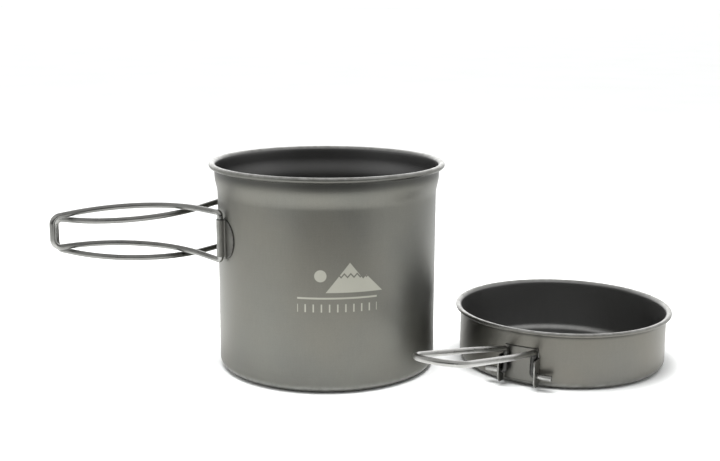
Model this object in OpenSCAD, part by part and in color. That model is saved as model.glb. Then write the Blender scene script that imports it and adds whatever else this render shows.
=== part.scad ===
// Cooking pot with a shallow pan that doubles as its lid, and three folding wire handles.
// Origin: centre of the pot's base. +Z is up, the pot's handles point along -X, units are mm.

/* [Pot] */
// Outside diameter of the pot body
pot_d = 115; // [105:1:120]
// Overall height of the pot, base to top of rim
pot_h = 109.2; // [104:0.2:116]
// Radius of the curve between the pot's base and its side
pot_base_radius = 5; // [4:0.5:8]
// Sheet thickness of pot and pan
sheet = 0.5; // [0.4:0.05:0.7]
// Step from the pot body out to its wider mouth, on the radius
mouth_step = 1.45; // [1.3:0.05:1.8]
// Height of the wide mouth, shoulder to rim
mouth_h = 10.5; // [9:0.5:13]

/* [Pan] */
// Overall height of the pan, base to top of rim
pan_h = 30.3; // [28:0.1:36]
// Radius of the curve between the pan's base and its side
pan_base_radius = 4.5; // [4:0.5:6]
// Radial play of the pan's rim inside the pot's mouth
lid_play = 0.65; // [0.4:0.05:0.8]
// Position of the pan's axis across from the pot's, along X
pan_x = 127.7; // [125:0.1:150]
// Position of the pan's axis along Y
pan_y = -8.2; // [-20:0.1:5]
// Direction the pan's handle points, seen from above
pan_handle_dir = -127; // [-135:0.1:-115]

/* [Wire handles] */
// Wire thickness of all three handles
wire_d = 3; // [2.6:0.1:3.2]
// Height of the middle of the pot's handles
pot_handle_z = 72; // [68:0.5:74]
// How far the pot's handles reach from the pot's axis
pot_handle_reach = 142; // [137:0.5:147]
// How far the pan's handle reaches from the pan's axis
pan_handle_reach = 153.4; // [145:0.1:160]
// Slope of the pan's handle, rise over run
pan_handle_rise = 0.22; // [0.15:0.01:0.25]

/* [Hidden] */
$fn = 96;
wire_r = wire_d / 2;
// radial running clearance of a wire in its barrel or ear
play = 0.05;
// collars that tie lengths of wire together: how proud of the wire, and how long
collar_t = 0.05;
collar_h = 0.4;
steel_grey = [0.62, 0.62, 0.60];
sheet_grey = [0.46, 0.46, 0.44];

pot_r = pot_d / 2;
mouth_r = pot_r + mouth_step;
// radius of the rolled rim's tube, and of the ring that the tube's middle runs in
roll_r = 1.4;
rim_r = mouth_r + 1.45;
mouth_z = pot_h - mouth_h;
shoulder_h = 5.5;
shoulder_z = mouth_z - shoulder_h;

pan_rim_outer_r = mouth_r - sheet - lid_play;
pan_roll_r = 1.1;
pan_rim_r = pan_rim_outer_r - pan_roll_r;
// the rolled rim stands out this far from the pan's wall
pan_rim_step = 2.73;
pan_r = pan_rim_outer_r - pan_rim_step;

// pot bracket: two barrels, each this far round the wall from the bracket's middle
barrel_angle = 20.3;
barrel_axis_r = pot_r + 2.2;
barrel_r = wire_r + play + sheet;
barrel_h = 19.4;
// height of the pair of barrels above the plate's middle
barrel_lift = 0.5;
// the front barrel sits this much above the pair's middle, the rear one as much below
barrel_shift = 0.4;
plate_t = 0.4;
moon_r = 10.3;
moon_shift = 0.3;
moon_angle = 1.4;
// the half-moon is cut from a piece of plate that runs this far round the wall
moon_wedge = 20;
strip_h = 18;

// pot handle: where the loop leaves the barrel, turns and ends, as seen from above
leave_angle = 48;
turn_angle = 80.2;
turn_r = 53;
turn_run = 59.6;
elbow_r = 1.8;
end_r = 4.4;
// the front loop runs this far above the rear one where they cross
cross_lift = 3.4;
loop_span = 20.36;
span_slope = -4.52 / 45;
mid_slope = -0.3 / 45;
side_slope = -0.062;
loop_lift = 0.65;
barrel_u = barrel_axis_r * cos(barrel_angle);
barrel_w = barrel_axis_r * sin(barrel_angle);
turn_u = barrel_u + turn_run * cos(leave_angle);
turn_w = barrel_w - turn_run * sin(leave_angle);
end_w = turn_w + (pot_handle_reach - turn_u) * tan(turn_angle - leave_angle);

// pan bracket and handle, measured from the pan's axis along the handle's direction
plate_half_angle = 10.45;
plate_low = 3;
plate_top = 20.9;
ear_in = 9.4;
ear_t = 0.7;
ear_low = 1.7;
ear_top = 16.4;
ear_out = pan_r + 6.5;
pin_n = pan_r + 2.83;
pin_z = 7.6;
pin_reach = 17.8;
leg_w = 7.5;
leg_top_n = pan_r + 1.85;
leg_top_z = 19.1;
arm_mid_run = 35;
arm_mid_w = 11.1;
arm_end_w = 12.7;
leg_elbow_r = 1.6;
arm_elbow_r = 2.5;
arm_mid_r = 120;
arm_end_r = 12;

// Part to show

function unit(v) = v / norm(v);
function half_angle(a, b, c) = acos(unit(a - b) * unit(c - b)) / 2;
function run_in(a, b, c, r) = r / tan(half_angle(a, b, c));

// straight length of wire from one point to another
module rod(a, b) {
    d = b - a;
    translate(a)
        rotate([0, acos(d.z / norm(d)), atan2(d.y, d.x)])
            cylinder(r = wire_r, h = norm(d));
}

// hair-thin collar that ties two lengths of wire together where they meet at p
module collar(p, along) {
    d = unit(along);
    translate(p)
        rotate([0, acos(d.z), atan2(d.y, d.x)])
            cylinder(r = wire_r + collar_t, h = collar_h, center = true);
}

// round bend of the wire at corner b, on the way from a to c
module bend(a, b, c, r) {
    h = half_angle(a, b, c);
    u = unit(a - b);
    v = unit(c - b);
    centre = b + unit(u + v) * r / sin(h);
    from = unit(b + u * r / tan(h) - centre);
    to = unit(b + v * r / tan(h) - centre);
    n = unit(cross(from, to));
    polar = acos(n.z);
    azimuth = atan2(n.y, n.x);
    local_x = [cos(polar) * cos(azimuth), cos(polar) * sin(azimuth), -sin(polar)];
    local_y = [-sin(azimuth), cos(azimuth), 0];
    collar(b + u * r / tan(h), u);
    collar(b + v * r / tan(h), v);
    translate(centre)
        rotate([0, polar, azimuth])
            rotate([0, 0, atan2(from * local_y, from * local_x)])
                rotate_extrude(angle = 180 - 2 * h)
                    translate([r, 0])
                        circle(r = wire_r);
}

// closed loop of wire through corners p, bent to radius r[i] at each
module wire_loop(p, r) {
    n = len(p);
    for (i = [0 : n - 1]) {
        a = p[(i + n - 1) % n];
        b = p[i];
        c = p[(i + 1) % n];
        d = p[(i + 2) % n];
        bend(a, b, c, r[i]);
        rod(b + unit(c - b) * run_in(a, b, c, r[i]),
            c - unit(c - b) * run_in(b, c, d, r[(i + 1) % n]));
    }
}

// open length of wire through corners p, bent to radius r[i] at each inner one
module wire_run(p, r) {
    n = len(p);
    for (i = [1 : n - 2])
        bend(p[i - 1], p[i], p[i + 1], r[i]);
    for (i = [0 : n - 2]) {
        along = unit(p[i + 1] - p[i]);
        start = i == 0 ? 0 : run_in(p[i - 1], p[i], p[i + 1], r[i]);
        stop = i == n - 2 ? 0 : run_in(p[i], p[i + 1], p[i + 2], r[i + 1]);
        rod(p[i] + along * start, p[i + 1] - along * stop);
    }
}

// points along an arc round centre c, from angle a0 to a1
function arc(c, r, a0, a1, steps) =
    [for (i = [0 : steps])
        c + r * [cos(a0 + (a1 - a0) * i / steps), sin(a0 + (a1 - a0) * i / steps)]];

// rolled rim, from under the roll on the outside, over the crest and down the flare inside
function rim_points(crest_r, wall_r, bead_r, top) =
    concat([[wall_r, top - 1.8 * bead_r]],
           arc([crest_r, top - bead_r], bead_r, 215, 450, 16),
           arc([crest_r, top - crest_r + wall_r - sheet], crest_r - wall_r + sheet, 97, 180, 7));

// shoulder that eases the wall out to the pot's mouth, less an even thickness t
function shoulder_points(t) =
    let (steps = 10)
        [for (i = [0 : steps])
            [pot_r - t + mouth_step * (1 - cos(180 * i / steps)) / 2,
             shoulder_z + (mouth_z - shoulder_z) * i / steps]];

function reversed(p) = [for (i = [len(p) - 1 : -1 : 0]) p[i]];

// wall and base outline of a cup from the middle of its base out to its side
function base_points(r, base_r, t) =
    concat([[0, t]], arc([r - base_r, base_r], base_r - t, -90, 0, 12));

module pot_body() {
    color(sheet_grey)
        rotate_extrude()
            polygon(concat(base_points(pot_r, pot_base_radius, 0), shoulder_points(0),
                           rim_points(rim_r, mouth_r, roll_r, pot_h),
                           reversed(shoulder_points(sheet)),
                           reversed(base_points(pot_r, pot_base_radius, sheet))));
}

module pan_body() {
    color(sheet_grey)
        translate([pan_x, pan_y, 0])
            rotate_extrude()
                polygon(concat(base_points(pan_r, pan_base_radius, 0),
                               rim_points(pan_rim_r, pan_r, pan_roll_r, pan_h),
                               reversed(base_points(pan_r, pan_base_radius, sheet))));
}

// one barrel and half-moon end: side is 1 for the front (-Y) one, -1 for the rear one
module barrel_end(side) {
    rotate([0, 0, 180 + side * barrel_angle]) {
        translate([barrel_axis_r, 0, pot_handle_z + barrel_lift + side * barrel_shift - barrel_h / 2])
            cylinder(r = barrel_r, h = barrel_h);
        intersection() {
            rotate([0, 0, side > 0 ? 0 : -moon_wedge])
                translate([0, 0, pot_handle_z - 1.5 * moon_r])
                    rotate_extrude(angle = moon_wedge)
                        translate([pot_r, 0])
                            square([plate_t, 3 * moon_r]);
            rotate([0, 0, side * moon_angle])
                translate([pot_r - 5, 0, pot_handle_z + side * moon_shift])
                    rotate([0, 90, 0])
                        cylinder(r = moon_r, h = 10);
        }
    }
}

module pot_handle_bracket() {
    color(sheet_grey)
        difference() {
            union() {
                barrel_end(1);
                barrel_end(-1);
                rotate([0, 0, 180 - barrel_angle])
                    translate([0, 0, pot_handle_z - strip_h / 2])
                        rotate_extrude(angle = 2 * barrel_angle)
                            translate([pot_r, 0])
                                square([plate_t, strip_h]);
            }
            for (side = [1, -1])
                rotate([0, 0, 180 + side * barrel_angle])
                    translate([barrel_axis_r, 0, pot_handle_z - barrel_h])
                        cylinder(r = wire_r + play, h = 2 * barrel_h);
        }
}

// corner of a pot loop at distance u out and w across, on its upper (up = 1) or lower (-1) arm
function loop_point(u, w, up, side) =
    [-u, -side * w,
     pot_handle_z + loop_lift + mid_slope * (u - 100)
     + side * (cross_lift / 2 + side_slope * w) + up * (loop_span + span_slope * (u - 100)) / 2];

module pot_loop(side) {
    wire_loop([loop_point(barrel_u, barrel_w, 1, side), loop_point(turn_u, turn_w, 1, side),
               loop_point(pot_handle_reach, end_w, 1, side),
               loop_point(pot_handle_reach, end_w, -1, side),
               loop_point(turn_u, turn_w, -1, side), loop_point(barrel_u, barrel_w, -1, side)],
              [elbow_r, turn_r, end_r, end_r, turn_r, elbow_r]);
}

module front_pot_handle() {
    color(steel_grey)
        pot_loop(1);
}

module rear_pot_handle() {
    color(steel_grey)
        pot_loop(-1);
}

// one ear of the pan's bracket, a flat tab with a rounded lower corner and a hole for the pin
module pan_ear(side) {
    // the ears start inside the curved plate at the bracket's sides
    ear_start = pan_r - 0.79;
    corner_r = 3.5;
    translate([0, side * (ear_in + ear_t / 2) + ear_t / 2, 0])
        rotate([90, 0, 0])
            linear_extrude(height = ear_t)
                difference() {
                    union() {
                        translate([ear_start, ear_low + corner_r])
                            square([ear_out - ear_start, ear_top - ear_low - corner_r]);
                        translate([ear_start, ear_low])
                            square([ear_out - ear_start - corner_r, corner_r + 1]);
                        translate([ear_out - corner_r, ear_low + corner_r])
                            circle(r = corner_r);
                    }
                    translate([pin_n, pin_z])
                        circle(r = wire_r + play);
                }
}

module pan_handle_bracket() {
    color(sheet_grey)
        translate([pan_x, pan_y, 0])
            rotate([0, 0, pan_handle_dir]) {
                rotate([0, 0, -plate_half_angle])
                    translate([0, 0, plate_low])
                        rotate_extrude(angle = 2 * plate_half_angle)
                            translate([pan_r, 0])
                                square([sheet, plate_top - plate_low]);
                pan_ear(1);
                pan_ear(-1);
            }
}

// corner of the pan's loop at distance n out along the handle and w across
function arm_point(n, w) = [n, w, leg_top_z + pan_handle_rise * (n - leg_top_n)];

module pan_handle() {
    half = [[pin_n, pin_reach, pin_z], [pin_n, leg_w, pin_z], arm_point(leg_top_n, leg_w),
            arm_point(leg_top_n + arm_mid_run, arm_mid_w), arm_point(pan_handle_reach, arm_end_w)];
    radii = [0, leg_elbow_r, arm_elbow_r, arm_mid_r, arm_end_r];
    n = len(half);
    color(steel_grey)
        translate([pan_x, pan_y, 0])
            rotate([0, 0, pan_handle_dir])
                wire_run([for (i = [0 : 2 * n - 1])
                              i < n ? half[i] : [half[2 * n - 1 - i].x, -half[2 * n - 1 - i].y,
                                                 half[2 * n - 1 - i].z]],
                         [for (i = [0 : 2 * n - 1]) i < n ? radii[i] : radii[2 * n - 1 - i]]);
}

pot_body();
pot_handle_bracket();
front_pot_handle();
rear_pot_handle();
pan_body();
pan_handle_bracket();
pan_handle();
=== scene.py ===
"""Cooking pot and lid pan in blasted titanium, with folding wire handles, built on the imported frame."""

import bpy
import numpy as np
from mathutils import Matrix, Vector


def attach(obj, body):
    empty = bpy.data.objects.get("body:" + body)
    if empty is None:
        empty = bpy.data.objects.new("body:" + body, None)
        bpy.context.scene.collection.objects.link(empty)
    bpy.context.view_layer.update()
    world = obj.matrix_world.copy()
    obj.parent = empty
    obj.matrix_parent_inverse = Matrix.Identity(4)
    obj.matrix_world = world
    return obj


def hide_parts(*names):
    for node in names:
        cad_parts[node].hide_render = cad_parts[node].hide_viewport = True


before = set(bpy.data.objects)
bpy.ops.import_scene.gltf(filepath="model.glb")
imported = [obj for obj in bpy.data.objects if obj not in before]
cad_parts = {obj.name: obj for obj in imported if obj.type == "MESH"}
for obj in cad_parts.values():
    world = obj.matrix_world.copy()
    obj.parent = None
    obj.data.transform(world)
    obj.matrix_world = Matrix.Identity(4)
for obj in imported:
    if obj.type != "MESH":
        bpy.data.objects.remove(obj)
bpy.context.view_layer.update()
MM = 0.001

# ---- Pot body ----------------------------------------------------------------------------------
# A tall cup, deep drawn from half-millimetre titanium sheet. Its mouth is eased out over a shoulder
# so that the pan sits in it as a lid, and its rim is rolled outwards into a hollow bead.
# The whole cup is blasted to a fine matte grey, and a small pictogram is etched on its side.

SHEET = 0.5 * MM
POT_R = 57.5 * MM
POT_TOP = 109.2 * MM
MOUTH_R = 58.95 * MM
MOUTH_Z = 102.8 * MM
SHOULDER_Z = 92.4 * MM
POT_BASE_ROUND = 5.0 * MM
POT_BEAD_R = 1.4 * MM
POT_BEAD_RING = 60.4 * MM
ROUND_STEPS = 288


def arc(middle, radius, start, stop, steps):
    """Points on a round arc in the (r, z) plane: middle + radius * (cos a, sin a), a in degrees."""
    a = np.radians(np.linspace(start, stop, steps + 1))
    return np.column_stack([middle[0] + radius * np.cos(a), middle[1] + radius * np.sin(a)])


def straight(a, b, steps):
    """Evenly spaced points between a and b, both left out: a + (b - a) * t."""
    t = np.linspace(0, 1, steps + 1)[1:-1, None]
    return np.array(a) + (np.array(b) - np.array(a)) * t


def cup_outline(wall_r, base_round, wall_steps, side, bead_ring, bead_r, top):
    """Closed (r, z) outline of a drawn cup. Outside: flat base, round corner, the side points, then the
    sheet flares on an arc into a rolled bead. The bead's inner skin lies one sheet inside its outer
    skin, and its edge is rounded by half a sheet. Inside: the flare, the side less one sheet, the base."""
    mouth_r = side[-1, 0]
    flare_r = bead_ring - mouth_r
    flare = (bead_ring, top - flare_r - SHEET)
    bead = (bead_ring, top - bead_r)
    edge_at = np.radians(215)
    edge_r = bead_r - SHEET / 2
    edge_mid = (bead[0] + edge_r * np.cos(edge_at), bead[1] + edge_r * np.sin(edge_at))
    corner = (wall_r - base_round, base_round)
    low = (wall_r, base_round)
    underside = np.array([[0.02 * MM, 0], [wall_r * 0.35, 0], [wall_r * 0.7, 0]])
    return np.concatenate([
        underside, arc(corner, base_round, -90, 0, 14), straight(low, side[0], wall_steps), side,
        straight(side[-1], (mouth_r, flare[1]), 4), arc(flare, flare_r, 180, 98, 10),
        arc(bead, bead_r - SHEET, 88, -145, 22), arc(edge_mid, SHEET / 2, 35, 215, 6)[1:-1],
        arc(bead, bead_r, 215, 450, 34), arc(flare, flare_r + SHEET, 96, 180, 10)[:-1],
        straight((mouth_r - SHEET, flare[1]), (side[-1, 0] - SHEET, side[-1, 1]), 4), side[::-1] - [SHEET, 0],
        straight((side[0, 0] - SHEET, side[0, 1]), (wall_r - SHEET, base_round), wall_steps),
        arc(corner, base_round - SHEET, 0, -90, 14), underside[::-1] + [0, SHEET]])


def skin(name, rings, notes=None):
    """Closes rings of points, an array (station, point round the ring, xyz), into one shell. Four-sided faces
    join each ring to the next, and a fan to the ring's middle shuts each end. The faces are turned outwards
    by the sign of the volume that they enclose. notes holds values stored on the same grid of points."""
    stations, around = rings.shape[:2]
    count = stations * around
    points = np.concatenate([rings.reshape(-1, 3), rings[:1].mean(1), rings[-1:].mean(1)])
    j = np.arange(around)
    k = (j + 1) % around
    row = np.arange(stations - 1)[:, None] * around
    quads = np.stack([row + j, row + k, row + around + k, row + around + j], -1).reshape(-1, 4)
    last = count - around
    fans = np.concatenate([np.column_stack([np.full(around, count), k, j]),
                           np.column_stack([np.full(around, count + 1), last + j, last + k])])
    triangles = np.concatenate([quads[:, :3], quads[:, [0, 2, 3]], fans])
    a, b, c = points[triangles[:, 0]], points[triangles[:, 1]], points[triangles[:, 2]]
    if np.einsum("ij,ij->", a, np.cross(b, c)) < 0:
        quads, fans = quads[:, ::-1], fans[:, ::-1]
    mesh = bpy.data.meshes.new(name)
    mesh.from_pydata(points.tolist(), [], quads.tolist() + fans.tolist())
    for key, values in (notes or {}).items():
        values = np.asarray(values, float)
        flat = values.reshape(count, -1)
        ends = np.stack([flat[:around].mean(0), flat[last:].mean(0)])
        flat = np.concatenate([flat, ends]).astype(np.float32)
        vector = flat.shape[1] == 3
        layer = mesh.attributes.new(key, "FLOAT_VECTOR" if vector else "FLOAT", "POINT")
        layer.data.foreach_set("vector" if vector else "value", flat.ravel())
    mesh.shade_smooth()
    piece = bpy.data.objects.new(name, mesh)
    bpy.context.scene.collection.objects.link(piece)
    return piece


def turned(name, outline, middle, notes=None):
    """Spins an (r, z) outline once about the upright line through middle: x = r cos a, y = r sin a.
    notes holds one value for each outline point, carried round with it."""
    a = np.linspace(0, 2 * np.pi, ROUND_STEPS, endpoint=False)
    r, z = outline[:, :1], outline[:, 1:]
    rings = np.stack([middle[0] + r * np.cos(a), middle[1] + r * np.sin(a), z + 0 * a], -1)
    return skin(name, rings, {key: v[:, None] + 0 * a for key, v in (notes or {}).items()})


def bump_at(x, middle, width):
    """A soft hump: exp(-((x - middle) / width) squared)."""
    return np.exp(-((x - middle) / width) ** 2)


def ease(x, a, b):
    """Smooth step from 0 at a to 1 at b: 3 t^2 - 2 t^3."""
    t = np.clip((x - a) / (b - a), 0, 1)
    return t * t * (3 - 2 * t)


def inner_side(outline):
    """1 on the inside of a cup, from just past the top of its bead, and 0 on its outside."""
    return ease(np.arange(len(outline)) - np.argmax(outline[:, 1]), 2, 8)


def bead_shade_mask(outline, middle, width):
    """Painted shade mask: 1 on the outside wall in the recess under the bead, a hump of that width at that
    height.
    """
    return bump_at(outline[:, 1], middle, width) * (1 - inner_side(outline))


def cup_notes(outline, wall_r, top, rim_rub, base_rub, bead_shade):
    """What a cup's finish reads along its outline. wear is a hump of width rim_rub over the rim's top, and
    six tenths of a hump round the base's corner. inner is the inside, and bead_shade is painted shade in the
    recess under the bead. base_rub and bead_shade are each the middle and the width of a hump."""
    gap = np.hypot(outline[:, 0] - wall_r, outline[:, 1])
    wear = np.maximum(bump_at(outline[:, 1], top, rim_rub), 0.6 * bump_at(gap, *base_rub))
    return {"wear": wear, "inner": inner_side(outline), "bead_shade": bead_shade_mask(outline, *bead_shade)}


POT_RIM_RUB = 0.9 * MM
POT_BASE_RUB = (2.1 * MM, 1.6 * MM)
# Where the painted shade under the pot's bead lies: its middle height and its width.
POT_BEAD_SHADE_AT = (104.9 * MM, 2.7 * MM)
steps_up = np.linspace(0, 1, 19)
shoulder = np.column_stack([POT_R + (MOUTH_R - POT_R) * (1 - np.cos(np.pi * steps_up)) / 2,
                            SHOULDER_Z + (MOUTH_Z - SHOULDER_Z) * steps_up])
pot_outline = cup_outline(POT_R, POT_BASE_ROUND, 24, shoulder, POT_BEAD_RING, POT_BEAD_R, POT_TOP)
pot_notes = cup_notes(pot_outline, POT_R, POT_TOP, POT_RIM_RUB, POT_BASE_RUB, POT_BEAD_SHADE_AT)
pot_body = turned("drawn_pot_body", pot_outline, (0, 0), pot_notes)


def node(tree, kind, inputs=None, **settings):
    """Adds a node, sets its settings, and fills each input, by name or number, with a socket or a value."""
    made = tree.nodes.new(kind)
    for key, value in settings.items():
        setattr(made, key, value)
    for key, value in (inputs or {}).items():
        if isinstance(value, bpy.types.NodeSocket):
            tree.links.new(value, made.inputs[key])
        else:
            made.inputs[key].default_value = value
    return made


def math(tree, operation, a, b=0.0, clamp=False):
    """One arithmetic step between two values, as a socket."""
    return node(tree, "ShaderNodeMath", {0: a, 1: b}, operation=operation, use_clamp=clamp).outputs[0]


def between(tree, value, low, high, to_low, to_high):
    """Slides value from the range low-high to the range to_low-to_high, held at both ends."""
    return node(tree, "ShaderNodeMapRange", {0: value, 1: low, 2: high, 3: to_low, 4: to_high}).outputs[0]


def blend(tree, share, a, b, blend_type="MIX"):
    """Colour a turned towards colour b by share."""
    made = node(tree, "ShaderNodeMix", {0: share, 6: a, 7: b}, data_type="RGBA", blend_type=blend_type)
    return made.outputs[2]


def noise(tree, position, scale, detail=2.0, rough=0.5):
    """Cloud noise of that scale, in features a metre, as a socket from 0 to 1."""
    settings = {"Vector": position, "Scale": scale, "Detail": detail, "Roughness": rough}
    return node(tree, "ShaderNodeTexNoise", settings).outputs[0]


def effect(name, inputs, outputs):
    """Starts a shared node group with the named inputs, given as (socket kind, value), and value outputs."""
    tree = bpy.data.node_groups.new(name, "ShaderNodeTree")
    for key, (kind, value) in inputs.items():
        socket = tree.interface.new_socket(key, in_out="INPUT", socket_type=kind)
        socket.default_value = value
    for key, kind in outputs.items():
        tree.interface.new_socket(key, in_out="OUTPUT", socket_type=kind)
    return tree, tree.nodes.new("NodeGroupInput").outputs, tree.nodes.new("NodeGroupOutput").inputs


FLOAT, VECTOR = "NodeSocketFloat", "NodeSocketVector"
ORIGIN = (VECTOR, (0, 0, 0))


def vector_math(tree, operation, a, b=(0, 0, 0)):
    """One arithmetic step between two vectors, as the node's outputs."""
    return node(tree, "ShaderNodeVectorMath", {0: a, 1: b}, operation=operation).outputs


def spread_out(tree, cloud, low=0.3, high=0.7):
    """Noise stretched so that low becomes 0 and high becomes 1."""
    return between(tree, cloud, low, high, 0.0, 1.0)


# Blasting leaves a fine even pitting, and clouds of slightly different grey where the jet dwelt.
blasted, given, gives = effect("blasted_grain",
                               {"Position": ORIGIN, "Grain": (FLOAT, 2200.0), "Clouds": (FLOAT, 34.0)},
                               {"Pits": FLOAT, "Clouds": FLOAT, "Patches": FLOAT})
pits = noise(blasted, given["Position"], given["Grain"], 3.0, 0.6)
blasted.links.new(spread_out(blasted, pits), gives["Pits"])
clouds = noise(blasted, given["Position"], given["Clouds"], 4.0, 0.55)
blasted.links.new(spread_out(blasted, clouds, 0.32, 0.68), gives["Clouds"])
wide = vector_math(blasted, "ADD", given["Position"], (0.31, 0.17, 0.53))[0]
patches = noise(blasted, wide, math(blasted, "MULTIPLY", given["Clouds"], 0.45), 3.0, 0.6)
blasted.links.new(spread_out(blasted, patches, 0.35, 0.65), gives["Patches"])

# Drawing through the die leaves faint upright streaks, and spinning the trim leaves faint hoops.
drawn, given, gives = effect("draw_marks",
                             {"Position": ORIGIN, "Axis": ORIGIN,
                              "Streaks": (FLOAT, 60.0), "Hoops": (FLOAT, 1500.0)},
                             {"Streaks": FLOAT, "Hoops": FLOAT})
off_axis = vector_math(drawn, "SUBTRACT", given["Position"], given["Axis"])[0]
parts = node(drawn, "ShaderNodeSeparateXYZ", {0: off_axis}).outputs
flat = node(drawn, "ShaderNodeCombineXYZ", {0: parts[0], 1: parts[1]}).outputs[0]
reach = vector_math(drawn, "LENGTH", flat)["Value"]
outward = vector_math(drawn, "NORMALIZE", flat)[0]
lift = node(drawn, "ShaderNodeCombineXYZ", {2: math(drawn, "MULTIPLY", parts[2], 2.5)}).outputs[0]
ray = vector_math(drawn, "ADD", outward, lift)[0]
drawn.links.new(spread_out(drawn, noise(drawn, ray, given["Streaks"], 2.0, 0.6)), gives["Streaks"])
hoop_at = node(drawn, "ShaderNodeCombineXYZ", {0: math(drawn, "ADD", parts[2], reach)}).outputs[0]
drawn.links.new(spread_out(drawn, noise(drawn, hoop_at, given["Hoops"], 2.0, 0.6)), gives["Hoops"])

# Handling rubs the blasted skin bright on rims and edges, in broken patches.
# The same broken patches also break up the painted shade along the brackets' edges.
rub_and_shade, given, gives = effect("edge_rub_and_shade",
                              {"Position": ORIGIN, "Wear": (FLOAT, 0.0), "Break up": (FLOAT, 260.0)},
                              {"Patchy": FLOAT})
broken = between(rub_and_shade, noise(rub_and_shade, given["Position"], given["Break up"], 4.0, 0.65), 0.3, 0.62, 0.35, 1.0)
rub_and_shade.links.new(math(rub_and_shade, "MULTIPLY", given["Wear"], broken, clamp=True), gives["Patchy"])


def place(tree, group, inputs):
    """Puts a shared effect into a material with its own values."""
    return node(tree, "ShaderNodeGroup", inputs, node_tree=group).outputs


def new_material(name):
    """An empty node material, its shader node, and a socket with the piece's own coordinates."""
    material = bpy.data.materials.new(name)
    material.use_nodes = True
    tree = material.node_tree
    tree.nodes.clear()
    shader = node(tree, "ShaderNodeBsdfPrincipled")
    node(tree, "ShaderNodeOutputMaterial", {0: shader.outputs[0]})
    return material, tree, shader, node(tree, "ShaderNodeTexCoord").outputs["Object"]


def feed(tree, shader, colour, roughness, height, depth, strength=0.5):
    """Joins colour, roughness and a bump of that depth in metres to the shader."""
    tree.links.new(colour, shader.inputs["Base Color"])
    tree.links.new(roughness, shader.inputs["Roughness"])
    bump = node(tree, "ShaderNodeBump", {"Strength": strength, "Distance": depth, "Height": height})
    tree.links.new(bump.outputs[0], shader.inputs["Normal"])


# Painted shade: the recess under a bead is painted darker, standing in for the shade that falls there.
PAINTED_BEAD_SHADE = (0.045, 0.045, 0.043, 1)


def blasted_titanium(name, axis, dark, light, warm, worn, inside_tone=0.2):
    """Matte blasted sheet round an upright axis: greys by cloud, a warm cast by patch, faint streaks and
    hoops, a neutral inside, painted shade in the recess under the bead, and edges rubbed lighter and
    smoother. Returns the tree and its loose ends."""
    material, tree, shader, position = new_material(name)
    shader.inputs["Metallic"].default_value = 1.0
    grain = place(tree, blasted, {"Position": position})
    marks = place(tree, drawn, {"Position": position, "Axis": axis})
    wear = node(tree, "ShaderNodeAttribute", attribute_name="wear").outputs["Fac"]
    rub = place(tree, rub_and_shade, {"Position": position, "Wear": wear})["Patchy"]
    grey = blend(tree, grain["Clouds"], dark, light)
    grey = blend(tree, math(tree, "MULTIPLY", grain["Patches"], 0.55), grey, warm)
    fine = math(tree, "MULTIPLY", grain["Pits"], 0.10)
    fine = math(tree, "ADD", fine, math(tree, "MULTIPLY", marks["Streaks"], 0.03))
    fine = math(tree, "ADD", fine, math(tree, "MULTIPLY", marks["Hoops"], 0.03))
    fine = between(tree, fine, 0.0, 0.16, 0.92, 1.08)
    shade = node(tree, "ShaderNodeCombineColor", {0: fine, 1: fine, 2: fine}).outputs[0]
    grey = blend(tree, 1.0, grey, shade, "MULTIPLY")
    inner = node(tree, "ShaderNodeAttribute", attribute_name="inner").outputs["Fac"]
    grey = blend(tree, math(tree, "MULTIPLY", inner, 0.85), grey, (inside_tone, inside_tone, inside_tone, 1))
    # Painted shade in the recess under the bead.
    bead_shade = node(tree, "ShaderNodeAttribute", attribute_name="bead_shade").outputs["Fac"]
    grey = blend(tree, math(tree, "MULTIPLY", bead_shade, 0.8), grey, PAINTED_BEAD_SHADE)
    grey = blend(tree, rub, grey, worn)
    rough = between(tree, grain["Clouds"], 0, 1, 0.36, 0.42)
    rough = math(tree, "ADD", rough, math(tree, "MULTIPLY", grain["Pits"], 0.05))
    rough = math(tree, "SUBTRACT", rough, math(tree, "MULTIPLY", rub, 0.12))
    height = math(tree, "ADD", grain["Pits"], math(tree, "MULTIPLY", marks["Streaks"], 0.12))
    height = math(tree, "ADD", height, math(tree, "MULTIPLY", marks["Hoops"], 0.2))
    return material, tree, shader, position, grey, rough, height


POT_DARK = (0.137, 0.137, 0.125, 1)
POT_LIGHT = (0.159, 0.160, 0.145, 1)
POT_WARM = (0.166, 0.158, 0.134, 1)
POT_WORN = (0.38, 0.38, 0.365, 1)
POT_INSIDE_TONE = 0.165
ETCHED = (0.43, 0.425, 0.37, 1)
MARK_AT = np.radians(-89.0)
MARK_Z = 0.0515

# The pictogram, in millimetres across and up from the mark's middle: each peak's middle, top and slope,
# then the snow line, the sun, the rule under the hills and the graduations under the rule.
HIGH_PEAK, LOW_PEAK = (6.0, 15.5, 1.25), (14.5, 9.0, 1.0)
HILL_FOOT, SNOW_UP, SNOW_TOOTH, SNOW_STEEP, SNOW_HALF = 0.6, 8.2, 1.6, 1.1, 0.5
SUN_AT, SUN_R = (-8.5, 9.0), 3.0
RULE_UP, RULE_HALF = -2.2, 0.45
TICK_UP, TICK_HALF_H, TICK_HALF_W, TICK_STEP = -7.2, 2.0, 0.35, 2.0
MARK_HALF = 20.0

pot_finish, tree, shader, position, grey, rough, height = blasted_titanium(
    "blasted_titanium_pot", (0, 0, 0), POT_DARK, POT_LIGHT, POT_WARM, POT_WORN, POT_INSIDE_TONE)
parts = node(tree, "ShaderNodeSeparateXYZ", {0: position}).outputs
turn = math(tree, "SUBTRACT", math(tree, "ARCTAN2", parts[1], parts[0]), MARK_AT)
across = math(tree, "MULTIPLY", turn, POT_R / MM)
up = math(tree, "DIVIDE", math(tree, "SUBTRACT", parts[2], MARK_Z), MM)


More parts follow.
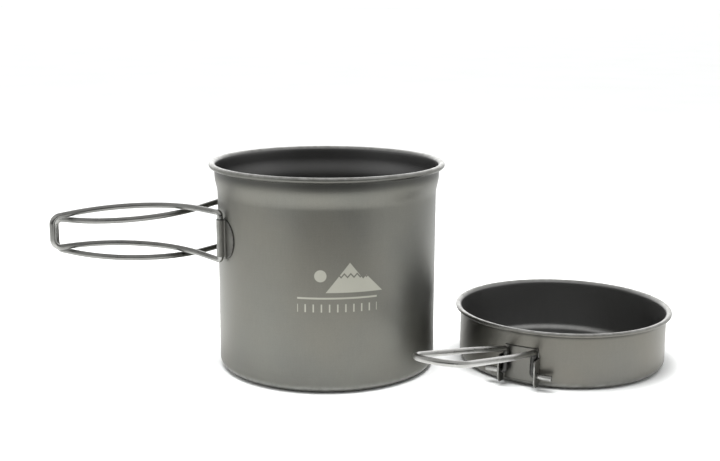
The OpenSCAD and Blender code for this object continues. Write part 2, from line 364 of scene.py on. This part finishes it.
def distance(tree, a, b, middle=(0.0, 0.0)):
    """How far (a, b) is from middle: the root of the sum of the squares."""
    a, b = math(tree, "SUBTRACT", a, middle[0]), math(tree, "SUBTRACT", b, middle[1])
    return math(tree, "SQRT", math(tree, "ADD", math(tree, "MULTIPLY", a, a), math(tree, "MULTIPLY", b, b)))


reach = math(tree, "DIVIDE", distance(tree, parts[0], parts[1]), MM)


def peak(middle, top, slope):
    """Height above a hillside that falls away evenly on both sides of middle."""
    fall = math(tree, "MULTIPLY", math(tree, "ABSOLUTE", math(tree, "SUBTRACT", across, middle)), slope)
    return math(tree, "SUBTRACT", top, math(tree, "ADD", fall, up))


def inside(depth, soft=0.12):
    """1 where depth is above zero, with an edge softened over soft millimetres."""
    return between(tree, depth, -soft, soft, 0.0, 1.0)


def band(value, middle, half):
    """1 where value is within half of middle."""
    return inside(math(tree, "SUBTRACT", half, math(tree, "ABSOLUTE", math(tree, "SUBTRACT", value, middle))))


from_left = math(tree, "ADD", across, 2 * MARK_HALF)
hills = math(tree, "MAXIMUM", peak(*HIGH_PEAK), peak(*LOW_PEAK))
teeth = math(tree, "MULTIPLY", math(tree, "PINGPONG", from_left, SNOW_TOOTH), SNOW_STEEP)
hills = math(tree, "MULTIPLY", inside(hills), inside(math(tree, "SUBTRACT", up, HILL_FOOT)))
snow_gap = band(up, math(tree, "ADD", teeth, SNOW_UP), SNOW_HALF)
hills = math(tree, "MULTIPLY", hills, math(tree, "SUBTRACT", 1.0, snow_gap))
sun = inside(math(tree, "SUBTRACT", SUN_R, distance(tree, across, up, SUN_AT)))
width = band(across, 0.0, MARK_HALF)
rule = math(tree, "MULTIPLY", band(up, RULE_UP, RULE_HALF), width)
tick = inside(math(tree, "SUBTRACT", TICK_HALF_W, math(tree, "PINGPONG", from_left, TICK_STEP)))
ticks = math(tree, "MULTIPLY", math(tree, "MULTIPLY", tick, band(up, TICK_UP, TICK_HALF_H)), width)
etch = math(tree, "MAXIMUM", math(tree, "MAXIMUM", hills, sun), math(tree, "MAXIMUM", rule, ticks))
outer_skin = inside(math(tree, "SUBTRACT", reach, POT_R / MM - 0.2), 0.02)
etch = math(tree, "MULTIPLY", etch, outer_skin)
etch = math(tree, "MULTIPLY", etch, inside(math(tree, "SUBTRACT", MARK_HALF, math(tree, "ABSOLUTE", up))))
grey = blend(tree, math(tree, "MULTIPLY", etch, 0.85), grey, ETCHED)
rough = math(tree, "ADD", rough, math(tree, "MULTIPLY", etch, 0.10))
feed(tree, shader, grey, rough, math(tree, "SUBTRACT", height, math(tree, "MULTIPLY", etch, 0.3)), 0.02 * MM)

pot_body.data.materials.append(pot_finish)
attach(pot_body, "pot")
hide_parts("pot_body")

# ---- Pot handle bracket ------------------------------------------------------------------------
# One strip of sheet pressed round the wall, with a half-moon end on each side and two upright
# ridges that clasp the handles' wire against the pot. It is spot-welded to the wall.

PLATE_T = 0.4 * MM
WIRE_R = 1.5 * MM
BARREL_RING = 59.7 * MM
BARREL_AT = 20.3
BARREL_HALF_H = 9.7 * MM
BARREL_Z = {1: 72.9 * MM, -1: 72.1 * MM}
RIDGE_R = 1.8 * MM
RIDGE_FOOT_R = 0.8 * MM
STRIP_HALF_H = 9 * MM
MOON_R = 10.3 * MM
MOON_OUT = 1.4 * MM
MOON_Z = 72.0 * MM
MOON_SHIFT = 0.3 * MM


def turned_about(side, axis, a):
    """A direction turned by a about an axis: its own share cos a, plus the share across it sin a, plus what
    lies along the axis times 1 - cos a."""
    return side * np.cos(a) + np.cross(axis, side) * np.sin(a) + axis * (axis @ side) * (1 - np.cos(a))


def bent_line(corners, radii, step):
    """Centre line of a strip or wire bent at corners: straight runs joined by round bends of those radii.
    A bend from way u to way v about their common normal is stop + R * (sin a * u + (1 - cos a) * inward).
    Returns the points, their directions, and a side direction that each bend turns about its own axis."""
    corners = np.asarray(corners, float)
    ways = np.diff(corners, axis=0)
    ways /= np.linalg.norm(ways, axis=1)[:, None]
    helper = np.eye(3)[np.argmin(np.abs(ways[0]))]
    side = np.cross(ways[0], helper)
    side /= np.linalg.norm(side)
    points, directions, sides = [], [], []
    start = corners[0]

    def run_to(stop, way):
        t = np.linspace(0, 1, max(2, int(np.linalg.norm(stop - start) / step)), endpoint=False)[:, None]
        points.append(start + (stop - start) * t)
        directions.append(np.repeat(way[None], len(t), 0))
        sides.append(np.repeat(side[None], len(t), 0))

    for corner, radius, u, v in zip(corners[1:-1], radii[1:-1], ways[:-1], ways[1:]):
        turn = np.arccos(np.clip(u @ v, -1, 1))
        run = radius * np.tan(turn / 2)
        run_to(corner - u * run, u)
        axis = np.cross(u, v) / np.sin(turn)
        inward = np.cross(axis, u)
        count = max(6, int(np.degrees(turn) / 5), int(radius * turn / step))
        a = np.linspace(0, turn, count, endpoint=False)[:, None]
        points.append(corner - u * run + radius * (np.sin(a) * u + (1 - np.cos(a)) * inward))
        directions.append(np.cos(a) * u + np.sin(a) * inward)
        sides.append(turned_about(side, axis, a))
        side = turned_about(side, axis, turn)
        start = corner + v * run
    run_to(corners[-1], ways[-1])
    return (np.concatenate(points + [corners[-1:]]), np.concatenate(directions + [ways[-1:]]),
            np.concatenate(sides + [side[None]]))


def strip_ring(half_t, low, high, edge_round):
    """Rounded oblong across a sheet, for every station at once: offsets over the sheet's thickness, and
    heights from low to high. Extra points inside both edges keep the edge's own tone narrow."""
    a = np.radians([-90, -60, -30, 0])
    tuck = np.minimum(edge_round, (high - low) * 0.2)[:, None]
    inset = np.minimum(0.7 * MM, (high - low) * 0.3)[:, None]
    low, high, mid = low[:, None], high[:, None], ((low + high) / 2)[:, None]
    corner = half_t[:, None] - edge_round + edge_round * np.cos(a)
    flat = half_t[:, None] + 0 * inset
    across = np.concatenate([corner, flat, flat, flat, corner[:, ::-1]], 1)
    heights = np.concatenate([low + tuck * (1 + np.sin(a)), low + inset, mid, high - inset,
                              high - tuck * (1 + np.sin(a[::-1]))], 1)
    return np.concatenate([across, -across[:, ::-1]], 1), np.concatenate([heights, heights[:, ::-1]], 1)


# The strip's line is worked out unrolled, (distance round, height off the wall), then wrapped on the wall.
half_gap = BARREL_RING * np.radians(BARREL_AT)
wall_line = PLATE_T / 2 + 0.02 * MM
ridge_top = BARREL_RING - POT_R + RIDGE_R
tip = half_gap + MOON_OUT + MOON_R
half_line = [(tip, wall_line, 0), (half_gap + RIDGE_R, wall_line, 0), (half_gap + RIDGE_R, ridge_top, 0),
             (half_gap - RIDGE_R, ridge_top, 0), (half_gap - RIDGE_R, wall_line, 0)]
half_radii = [0, RIDGE_FOOT_R, RIDGE_R * 0.999, RIDGE_R * 0.999, RIDGE_FOOT_R]
strip_line = half_line + [(-x, y, z) for x, y, z in half_line[::-1]]
line, ways, _ = bent_line(strip_line, half_radii + half_radii[::-1], 0.35 * MM)
# Each end has extra stations close together, so that the half-moon's tip is round.
end_in = (1 - np.cos(np.linspace(0, np.pi / 2, 8)[1:-1])) * 0.3 * MM
extra = np.column_stack([tip - end_in, np.full(len(end_in), wall_line), 0 * end_in])
line = np.concatenate([line[:1], extra, line[1:-1], extra[::-1] * [-1, 1, 1], line[-1:]])
first, final = np.repeat(ways[:1], len(extra) + 1, 0), np.repeat(ways[-1:], len(extra) + 1, 0)
ways = np.concatenate([first, ways[1:-1], final])
side_of = np.sign(line[:, 0])
out = np.abs(line[:, 0]) - half_gap
moon_half = np.sqrt(np.maximum(MOON_R ** 2 - (out - MOON_OUT) ** 2, (0.05 * MM) ** 2))
in_moon = ease(out, 1.9 * MM, 2.3 * MM)
in_strip = ease(-out, 1.9 * MM, 2.3 * MM)
in_ridge = 1 - in_moon - in_strip
ridge_z = np.where(side_of > 0, BARREL_Z[1], BARREL_Z[-1])
centre_z = in_moon * (MOON_Z + side_of * MOON_SHIFT) + in_strip * MOON_Z + in_ridge * ridge_z
half_h = in_moon * moon_half + in_strip * STRIP_HALF_H + in_ridge * BARREL_HALF_H
offset, heights = strip_ring(np.full(len(line), PLATE_T / 2), centre_z - half_h, centre_z + half_h, 0.12 * MM)
normal = np.column_stack([-ways[:, 1], ways[:, 0]])
round_by = (line[:, :1] + normal[:, :1] * offset) / BARREL_RING
reach_out = POT_R + line[:, 1:2] + normal[:, 1:2] * offset
at = np.pi + round_by
rings = np.stack([reach_out * np.cos(at), reach_out * np.sin(at), heights], -1)
# edge marks the strip's rims and the half-moons' outlines, where painted shade stands for the gaps against
# the wall and the wire.
edge = np.exp(-((half_h[:, None] - np.abs(heights - centre_z[:, None])) / (0.5 * MM)) ** 2)
moon_edge = MOON_R - np.hypot(out[:, None] - MOON_OUT, heights - (MOON_Z + side_of * MOON_SHIFT)[:, None])
edge = np.where(out[:, None] > 2.2 * MM, bump_at(moon_edge, 0, 0.75 * MM), edge)
crest = bump_at(line[:, 1:2] - ridge_top, 0, 0.6 * MM) + 0 * heights
pot_bracket = skin("pressed_handle_bracket", rings, {"edge": edge, "wear": crest})

BRACKET_DARK = (0.125, 0.125, 0.117, 1)
BRACKET_LIGHT = (0.165, 0.165, 0.153, 1)
BRACKET_WARM = (0.155, 0.147, 0.130, 1)
BRACKET_WORN = (0.33, 0.33, 0.315, 1)
# Painted shade: a near-black tone painted along the brackets' edges, round the pan's pins and on the pan
# handle's legs.
PAINTED_SHADE_DARK = (0.022, 0.022, 0.021, 1)


def bracket_titanium(name, axis):
    """Blasted sheet as on the cups, with painted shade along its sheared edges, standing for the gaps against
    the wall and the wire.
    """
    material, tree, shader, position, grey, rough, height = blasted_titanium(
        name, axis, BRACKET_DARK, BRACKET_LIGHT, BRACKET_WARM, BRACKET_WORN)
    edge = node(tree, "ShaderNodeAttribute", attribute_name="edge").outputs["Fac"]
    painted_shade = place(tree, rub_and_shade, {"Position": position, "Wear": edge, "Break up": 900.0})["Patchy"]
    grey = blend(tree, math(tree, "MULTIPLY", painted_shade, 0.85), grey, PAINTED_SHADE_DARK)
    return material, tree, shader, position, grey, rough, height


bracket_finish, tree, shader, position, grey, rough, height = bracket_titanium(
    "pressed_bracket_titanium", (0, 0, 0))
feed(tree, shader, grey, rough, height, 0.02 * MM)
pot_bracket.data.materials.append(bracket_finish)
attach(pot_bracket, "pot")
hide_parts("pot_handle_bracket")

# ---- Front and rear pot handles ----------------------------------------------------------------
# Two lengths of three-millimetre titanium wire, each bent into a long flat loop. The wire's ends meet
# out of sight inside its ridge, and the loop swings there. Seen from above the two loops cross twice.

HANDLE_Z = 72.65
HANDLE_REACH = 142.0
LEAVE_ANGLE = np.radians(48)
TURN_ANGLE = np.radians(80.2)
TURN_RUN = 59.6
LOOP_SPAN = 20.36
CROSS_LIFT = 3.4
CROSS_SLOPE = 0.062
SPAN_NARROWING = 4.52 / 45
SINK = 1 / 150
SLOPES_FROM = 100
HANDLE_RADII = np.array([1.8, 53, 4.4, 4.4, 53, 1.8]) * MM
WIRE_STEP, WIRE_SIDES, WIRE_NOSE = 1.2 * MM, 24, 0.3 * MM
barrel_u = BARREL_RING / MM * np.cos(np.radians(BARREL_AT))
barrel_w = BARREL_RING / MM * np.sin(np.radians(BARREL_AT))
turn_u = barrel_u + TURN_RUN * np.cos(LEAVE_ANGLE)
turn_w = barrel_w - TURN_RUN * np.sin(LEAVE_ANGLE)
end_w = turn_w + (HANDLE_REACH - turn_u) * np.tan(TURN_ANGLE - LEAVE_ANGLE)


def loop_corner(u, w, level, side):
    """A corner of a pot loop, u out and w across, in metres. Its height is the loops' middle, sinking
    outwards, lifted for the front loop or lowered for the rear one, plus or minus half a span that
    narrows outwards."""
    out = u - SLOPES_FROM
    middle = HANDLE_Z - SINK * out + side * (CROSS_LIFT / 2 - CROSS_SLOPE * w)
    return np.array([-u, -side * w, middle + level * (LOOP_SPAN - SPAN_NARROWING * out) / 2]) * MM


def wire_skin(name, corners, radii, rub_at, shade_span=(0, 0)):
    """Round wire along a bent line: line + r * (cos b * side + sin b * (way x side)), its ends rounded.
    'unbent' keeps where each point was on the straight wire, 'wear' how near it is to a rubbing spot, and
    the last mask is painted shade, 1 between the two given distances from either end."""
    line, ways, sides = bent_line(corners, radii, WIRE_STEP)
    run = np.concatenate([[0], np.cumsum(np.linalg.norm(np.diff(line, axis=0), axis=1))])
    round_off = np.radians([20, 55, 90])
    nose = WIRE_NOSE * (1 - np.cos(round_off))
    tuck = WIRE_NOSE * (1 - np.sin(round_off))
    nose_in, nose_out = line[:1] + ways[:1] * nose[:, None], line[-1:] - ways[-1:] * nose[::-1, None]
    line = np.concatenate([line[:1], nose_in, line[1:-1], nose_out, line[-1:]])
    ways = np.concatenate([np.repeat(ways[:1], 4, 0), ways[1:-1], np.repeat(ways[-1:], 4, 0)])
    sides = np.concatenate([np.repeat(sides[:1], 4, 0), sides[1:-1], np.repeat(sides[-1:], 4, 0)])
    run = np.concatenate([[0], nose, run[1:-1], run[-1] - nose[::-1], run[-1:]])
    radius = np.full(len(line), WIRE_R)
    radius[:4] -= np.concatenate([[WIRE_NOSE], tuck])
    radius[-4:] -= np.concatenate([tuck[::-1], [WIRE_NOSE]])
    b = np.linspace(0, 2 * np.pi, WIRE_SIDES, endpoint=False)
    cross = np.cross(ways, sides)
    spread = np.cos(b)[None, :, None] * sides[:, None] + np.sin(b)[None, :, None] * cross[:, None]
    rings = line[:, None] + radius[:, None, None] * spread
    along = run[:, None] + 0 * b
    unbent = np.stack([WIRE_R * np.cos(b) + 0 * along, WIRE_R * np.sin(b) + 0 * along, along], -1)
    near = np.linalg.norm(rings[:, :, None] - np.array(rub_at)[None, None], axis=-1).min(-1)
    from_end = np.minimum(run, run[-1] - run)
    # The last mask marks painted shade: 1 between the two given distances from either end.
    painted_shade = ease(from_end, shade_span[0], shade_span[0] + 2 * MM)
    painted_shade = painted_shade * (1 - ease(from_end, shade_span[1], shade_span[1] + 6 * MM))
    painted_shade = painted_shade[:, None] * (shade_span[1] > 0) + 0 * b
    return skin(name, rings, {"unbent": unbent, "wear": bump_at(near, 0, 3.5 * MM), "painted_shade": painted_shade})


def wire_titanium(name, dark, light, worn, low, high):
    """Drawn wire: fine lines along the wire, short rub marks, clouds of grey, bright worn spots, and painted
    shade on a marked stretch.
    """
    material, tree, shader, position = new_material(name)
    shader.inputs["Metallic"].default_value = 1.0
    unbent = node(tree, "ShaderNodeAttribute", attribute_name="unbent").outputs["Vector"]
    wear = node(tree, "ShaderNodeAttribute", attribute_name="wear").outputs["Fac"]
    along = node(tree, "ShaderNodeMapping", {"Vector": unbent, "Scale": (1.0, 1.0, 0.025)}).outputs[0]
    lines = spread_out(tree, noise(tree, along, 3200.0, 3.0, 0.6))
    grain = place(tree, blasted, {"Position": unbent, "Grain": 3000.0, "Clouds": 90.0})
    rub = place(tree, rub_and_shade, {"Position": unbent, "Wear": wear, "Break up": 500.0})["Patchy"]
    grey = blend(tree, grain["Clouds"], dark, light)
    grey = blend(tree, math(tree, "MULTIPLY", lines, 0.25), grey, worn)
    grey = blend(tree, rub, grey, worn)
    # Painted shade on the stretch of wire that the mask marks.
    painted_shade = node(tree, "ShaderNodeAttribute", attribute_name="painted_shade").outputs["Fac"]
    grey = blend(tree, math(tree, "MULTIPLY", painted_shade, 0.9), grey, PAINTED_SHADE_DARK)
    rough = between(tree, grain["Clouds"], 0, 1, low, high)
    rough = math(tree, "ADD", rough, math(tree, "MULTIPLY", lines, 0.06))
    rough = math(tree, "SUBTRACT", rough, math(tree, "MULTIPLY", rub, 0.08))
    height = math(tree, "ADD", lines, math(tree, "MULTIPLY", grain["Pits"], 0.5))
    feed(tree, shader, grey, rough, height, 0.012 * MM)
    return material


# The pot's loops and the pan's handle are the same wire in two tones: a darker copy here on the pot's loops,
# painted shade, and a lighter copy on the pan's handle, painted light.
POT_WIRE_SHADED_DARK = (0.15, 0.149, 0.142, 1)
POT_WIRE_SHADED_LIGHT = (0.20, 0.199, 0.188, 1)
POT_WIRE_SHADED_WORN = (0.36, 0.36, 0.345, 1)
LOOP_PLAN = [(barrel_u, barrel_w), (turn_u, turn_w), (HANDLE_REACH, end_w)]
pot_wire_shaded_finish = wire_titanium("drawn_wire_titanium_pot_shaded", POT_WIRE_SHADED_DARK, POT_WIRE_SHADED_LIGHT, POT_WIRE_SHADED_WORN, 0.24, 0.30)
for side, piece_name, body, cad_node in ((1, "front_wire_handle", "front_loop", "front_pot_handle"),
                                         (-1, "rear_wire_handle", "rear_loop", "rear_pot_handle")):
    upper = [loop_corner(u, w, 1, side) for u, w in LOOP_PLAN]
    lower = [loop_corner(u, w, -1, side) for u, w in LOOP_PLAN[::-1]]
    seam = (upper[0] + lower[-1]) / 2
    corners = [seam + [0, 0, 0.05 * MM]] + upper + lower + [seam - [0, 0, 0.05 * MM]]
    crossings = [upper[0], lower[-1], upper[2], lower[0]]
    handle = wire_skin(piece_name, corners, np.concatenate([[0], HANDLE_RADII, [0]]), crossings)
    handle.data.materials.append(pot_wire_shaded_finish)
    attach(handle, body)
    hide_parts(cad_node)

# ---- Pan body ----------------------------------------------------------------------------------
# A shallow cup drawn from the same sheet, which is also the pot's lid. Its wall is plain, and its rim
# is rolled outwards into a smaller bead. It is blasted like the pot, and stands beside it.

PAN_MIDDLE = (0.1277, -0.0082)
PAN_TOP = 30.3 * MM
PAN_R = 55.07 * MM
PAN_BASE_ROUND = 4.5 * MM
PAN_BEAD_R = 1.1 * MM
PAN_BEAD_RING = 56.7 * MM
PAN_RIM_RUB = 0.8 * MM
PAN_BASE_RUB = (1.9 * MM, 1.5 * MM)
# Where the painted shade under the pan's bead lies: its middle height and its width.
PAN_BEAD_SHADE_AT = (27.8 * MM, 0.9 * MM)

pan_side = np.column_stack([np.full(2, PAN_R), [24 * MM, 26 * MM]])
pan_outline = cup_outline(PAN_R, PAN_BASE_ROUND, 12, pan_side, PAN_BEAD_RING, PAN_BEAD_R, PAN_TOP)
pan_notes = cup_notes(pan_outline, PAN_R, PAN_TOP, PAN_RIM_RUB, PAN_BASE_RUB, PAN_BEAD_SHADE_AT)
pan_body = turned("drawn_pan_body", pan_outline, PAN_MIDDLE, pan_notes)

PAN_DARK = (0.128, 0.127, 0.117, 1)
PAN_LIGHT = (0.150, 0.149, 0.137, 1)
PAN_WARM = (0.160, 0.149, 0.125, 1)
PAN_INSIDE_TONE = 0.25
pan_finish, tree, shader, position, grey, rough, height = blasted_titanium(
    "blasted_titanium_pan", (*PAN_MIDDLE, 0), PAN_DARK, PAN_LIGHT, PAN_WARM, POT_WORN, PAN_INSIDE_TONE)
feed(tree, shader, grey, rough, height, 0.02 * MM)
pan_body.data.materials.append(pan_finish)
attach(pan_body, "pan")
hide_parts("pan_body")

# ---- Pan handle bracket ------------------------------------------------------------------------
# One plate curved to the pan's wall and spot-welded to it, with its lower sides folded straight out
# into two ears. Each ear has a rounded lower corner, and a ring of painted shade round the pin where one
# end of the handle pivots, in place of a cut hole.

HANDLE_TURN = np.radians(-127)
PAN_PLATE_T = 0.5 * MM
EAR_T = 0.7 * MM
EAR_MIDDLE = 9.75 * MM
EAR_OUT = PAN_R + 6.5 * MM
EAR_LOW, EAR_HIGH = 1.7 * MM, 16.4 * MM
PLATE_LOW, PLATE_HIGH = 3 * MM, 20.9 * MM
EAR_CORNER = 3.5 * MM
PIN_OUT = 57.9 * MM
PIN_Z = 7.6 * MM
FOLD_R = 0.9 * MM


def from_pan(points):
    """Turns points (out along the handle, across, up) from the pan's middle into the object's own axes."""
    c, s = np.cos(HANDLE_TURN), np.sin(HANDLE_TURN)
    x, y, z = np.moveaxis(np.asarray(points, float), -1, 0)
    return np.stack([PAN_MIDDLE[0] + c * x - s * y, PAN_MIDDLE[1] + s * x + c * y, z], -1)


plate_line = PAN_R + PAN_PLATE_T / 2 + 0.02 * MM
corner_turn = np.arcsin(EAR_MIDDLE / plate_line)
spread = np.linspace(corner_turn - 0.035, -corner_turn + 0.035, 13)
wall_points = np.column_stack([plate_line * np.cos(spread), plate_line * np.sin(spread), 0 * spread])
fold = (plate_line * np.cos(corner_turn), EAR_MIDDLE, 0)
ear_line = np.array([(EAR_OUT, EAR_MIDDLE, 0), fold])
corners = np.concatenate([ear_line, wall_points, ear_line[::-1] * [1, -1, 1]])
radii = [0, FOLD_R] + [20 * MM] * len(wall_points) + [FOLD_R, 0]
line, ways, _ = bent_line(corners, radii, 0.3 * MM)
folded = ease(np.abs(line[:, 1]), EAR_MIDDLE - 0.75 * MM, EAR_MIDDLE - 0.35 * MM)
tip_in = np.clip(line[:, 0] - (EAR_OUT - EAR_CORNER), 0, EAR_CORNER * 0.999)
rounded = EAR_CORNER - np.sqrt(EAR_CORNER ** 2 - tip_in ** 2)
low = PLATE_LOW + (EAR_LOW - PLATE_LOW) * folded + rounded
high = PLATE_HIGH + (EAR_HIGH - PLATE_HIGH) * folded - 0.35 * rounded
thicker = ease(np.abs(line[:, 1]), EAR_MIDDLE - 0.9 * MM, EAR_MIDDLE)
half_t = (PAN_PLATE_T + (EAR_T - PAN_PLATE_T) * thicker) / 2
offset, heights = strip_ring(half_t, low, high, 0.12 * MM)
normal = np.column_stack([-ways[:, 1], ways[:, 0]])
flat = np.stack([line[:, :1] + normal[:, :1] * offset, line[:, 1:2] + normal[:, 1:2] * offset, heights], -1)
gap_to_edge = np.minimum(heights - low[:, None], high[:, None] - heights)
edge = bump_at(gap_to_edge, 0, 0.3 * MM)
ear_rim = bump_at(line[:, 0] - EAR_OUT, 0, 0.3 * MM)[:, None] * (folded[:, None] > 0.5)
ear_wear = np.maximum(edge * folded[:, None], ear_rim)
# ear_edge marks where painted shade goes: fully along the plate's edges, and weaker on the ears.
ear_edge = edge * (1 - 0.7 * folded[:, None])
pan_bracket = skin("folded_ear_bracket", from_pan(flat), {"edge": ear_edge, "wear": ear_wear})

pan_bracket_finish, tree, shader, position, grey, rough, height = bracket_titanium(
    "folded_bracket_titanium", (*PAN_MIDDLE, 0))
pan_frame = {"Vector": position, "Location": (*PAN_MIDDLE, 0), "Rotation": (0, 0, float(HANDLE_TURN))}
local = node(tree, "ShaderNodeMapping", pan_frame, vector_type="TEXTURE").outputs[0]
parts = node(tree, "ShaderNodeSeparateXYZ", {0: local}).outputs
# A dark ring of painted shade round each pin stands for the gap in the ear's hole.
from_pin = distance(tree, parts[0], parts[2], (PIN_OUT, PIN_Z))
from_hole = math(tree, "ABSOLUTE", math(tree, "SUBTRACT", from_pin, WIRE_R))
painted_hole_ring = between(tree, from_hole, 0.15 * MM, 0.3 * MM, 1.0, 0.0)
grey = blend(tree, math(tree, "MULTIPLY", painted_hole_ring, 0.9), grey, PAINTED_SHADE_DARK)
feed(tree, shader, grey, rough, height, 0.02 * MM)
pan_bracket.data.materials.append(pan_bracket_finish)
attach(pan_bracket, "pan")
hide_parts("pan_handle_bracket")

# ---- Pan handle --------------------------------------------------------------------------------
# One length of the same wire bent into a long loop. Its two ends turn outwards as pins through the
# ears, its legs rise between them, and its arms slope up and out. It folds down under the pan.

PIN_END = 17.8
LEG_W = 7.5
LEG_TOP_OUT = 56.92
LEG_TOP_Z = 19.1
ARM_RISE = 0.22
ARM_MIDDLE = (LEG_TOP_OUT + 35, 11.1)
ARM_END = (153.4, 12.7)
# Painted shade darkens the wire where it passes the ears and rises as legs, between these distances from
# either end.
LEG_SHADE = (7 * MM, 19 * MM)


def arm_corner(out, across):
    """A corner of the pan's loop, whose arms rise ARM_RISE for each unit outwards from the legs' tops."""
    return (out, across, LEG_TOP_Z + ARM_RISE * (out - LEG_TOP_OUT))


pin_out, pin_z, ear_at = PIN_OUT / MM, PIN_Z / MM, EAR_MIDDLE / MM
half = [(pin_out, PIN_END, pin_z), (pin_out, LEG_W, pin_z), arm_corner(LEG_TOP_OUT, LEG_W),
        arm_corner(*ARM_MIDDLE), arm_corner(*ARM_END)]
corners = from_pan(np.array(half + [(x, -y, z) for x, y, z in half[::-1]]) * MM)
half_radii = [0, 1.6, 2.5, 120, 12]
rub_spots = from_pan(np.array([(pin_out, ear_at, pin_z), (pin_out, -ear_at, pin_z), half[-1]]) * MM)
loop_radii = np.array(half_radii + half_radii[::-1]) * MM
pan_handle = wire_skin("pivoting_pan_handle", corners, loop_radii, rub_spots, shade_span=LEG_SHADE)
# The same wire as the pot's loops, in a lighter copy with painted light.
PAN_WIRE_LIT_DARK = (0.24, 0.238, 0.226, 1)
PAN_WIRE_LIT_LIGHT = (0.31, 0.307, 0.293, 1)
PAN_WIRE_LIT_WORN = (0.48, 0.48, 0.465, 1)
pan_handle.data.materials.append(
    wire_titanium("drawn_wire_titanium_pan_lit", PAN_WIRE_LIT_DARK, PAN_WIRE_LIT_LIGHT, PAN_WIRE_LIT_WORN, 0.24, 0.30))
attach(pan_handle, "pan_loop")
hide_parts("pan_handle")

# ---- Table, light and camera -------------------------------------------------------------------
# A pale table under soft light from above and behind, darker towards the viewer, as in a small
# product studio. Nothing here is part of the object.

TABLE_DULL = (0.84, 0.85, 0.845, 1)
TABLE_PALE = (0.86, 0.87, 0.865, 1)
bpy.ops.mesh.primitive_plane_add(size=60, location=(0, 0, 0))
table = bpy.context.object
table.name = "pale_table"
table_paint, tree, shader, position = new_material("pale_table_paint")
tone = spread_out(tree, noise(tree, position, 6.0))
tree.links.new(blend(tree, tone, TABLE_DULL, TABLE_PALE), shader.inputs["Base Color"])
shader.inputs["Roughness"].default_value = 0.7
shader.inputs["Specular IOR Level"].default_value = 0.2
table.data.materials.append(table_paint)

# The air is bright at the sides, brightest behind, dimmer overhead, and dark low down towards the viewer.
AIR_SIDE, AIR_TOP, AIR_VIEWER, AIR_BACK, AIR_FRONT = 0.93, 0.75, 0.12, 2.3, 1.1
world = bpy.data.worlds.new("studio_air")
bpy.context.scene.world = world
world.use_nodes = True
air = world.node_tree
way = node(air, "ShaderNodeSeparateXYZ", {0: node(air, "ShaderNodeTexCoord").outputs["Generated"]}).outputs
overhead = between(air, way[2], 0.3, 0.85, AIR_SIDE, AIR_TOP)
toward = between(air, way[1], -0.9, -0.35, AIR_VIEWER, 1.0)
toward = math(air, "MAXIMUM", toward, between(air, way[2], 0.22, 0.5, 0.0, AIR_FRONT))
behind = between(air, way[1], 0.6, 0.95, 1.0, AIR_BACK)
glow = math(air, "MULTIPLY", math(air, "MULTIPLY", overhead, toward), behind)
air.links.new(glow, air.nodes["Background"].inputs[1])
air.nodes["Background"].inputs[0].default_value = (1.0, 1.0, 1.0, 1)

# Two broad soft lamps light the table, one evenly and one in a pool round the set. The metal doesn't
# mirror either of them.
TABLE_LAMP_SPREAD, TABLE_LAMP_POWER = np.radians(60), 0.6
POOL_LAMP_WIDTH, POOL_LAMP_POWER, POOL_LAMP_AT = 0.45, 6, (-0.02, -0.03, 0.55)
table_lamp_data = bpy.data.lights.new("table_lamp", "SUN")
table_lamp_data.angle = TABLE_LAMP_SPREAD
table_lamp_data.energy = TABLE_LAMP_POWER
table_lamp = bpy.data.objects.new("table_lamp", table_lamp_data)
pool_lamp_data = bpy.data.lights.new("pool_lamp", "AREA")
pool_lamp_data.shape = "DISK"
pool_lamp_data.size = POOL_LAMP_WIDTH
pool_lamp_data.energy = POOL_LAMP_POWER
pool_lamp = bpy.data.objects.new("pool_lamp", pool_lamp_data)
pool_lamp.location = POOL_LAMP_AT
for lamp in (table_lamp, pool_lamp):
    lamp.visible_glossy = False
    bpy.context.scene.collection.objects.link(lamp)

# A dark card stands in front, below the lens. The camera doesn't see it: only the metal mirrors it.
CARD_AT, CARD_SIZE = (0, -0.38, 0.1), (0.6, 0.2, 1)
bpy.ops.mesh.primitive_plane_add(size=1, location=CARD_AT, rotation=(np.pi / 2, 0, 0))
card = bpy.context.object
card.name = "dark_card"
card.scale = CARD_SIZE
card_paint, tree, shader, position = new_material("dark_card_paint")
shader.inputs["Base Color"].default_value = (0.02, 0.02, 0.02, 1)
shader.inputs["Roughness"].default_value = 0.9
card.data.materials.append(card_paint)
card.visible_camera = card.visible_shadow = card.visible_diffuse = False

# The camera. LOOK_ROUND and BENCH_TURN turn it about the upright, LOOK_DOWN tips it and LEAN rolls it.
EYE = (-0.04346, -0.59176, 0.19213)
LOOK_ROUND, LOOK_DOWN, LEAN, BENCH_TURN = 0.0296, 0.2005, 0.0049, np.radians(-4.2)
LENS = 56.81
ahead = np.array([np.sin(LOOK_ROUND), np.cos(LOOK_ROUND), 0])
forward = ahead * np.cos(LOOK_DOWN) - [0, 0, np.sin(LOOK_DOWN)]
level = np.array([ahead[1], -ahead[0], 0])
above = np.cross(level, forward)
right = np.cos(LEAN) * level + np.sin(LEAN) * above
top = np.cos(LEAN) * above - np.sin(LEAN) * level
stand = Matrix(np.column_stack([right, top, -forward]).tolist()).to_4x4()
stand = Matrix.Rotation(BENCH_TURN, 4, "Z") @ stand
stand.translation = Vector(EYE)
camera_data = bpy.data.cameras.new("studio_camera")
camera_data.lens = LENS
camera_data.sensor_width = 36
camera_data.clip_start = 0.01
camera = bpy.data.objects.new("studio_camera", camera_data)
camera.matrix_world = stand
bpy.context.scene.collection.objects.link(camera)
bpy.context.scene.camera = camera
bpy.context.scene.view_settings.view_transform = "Standard"
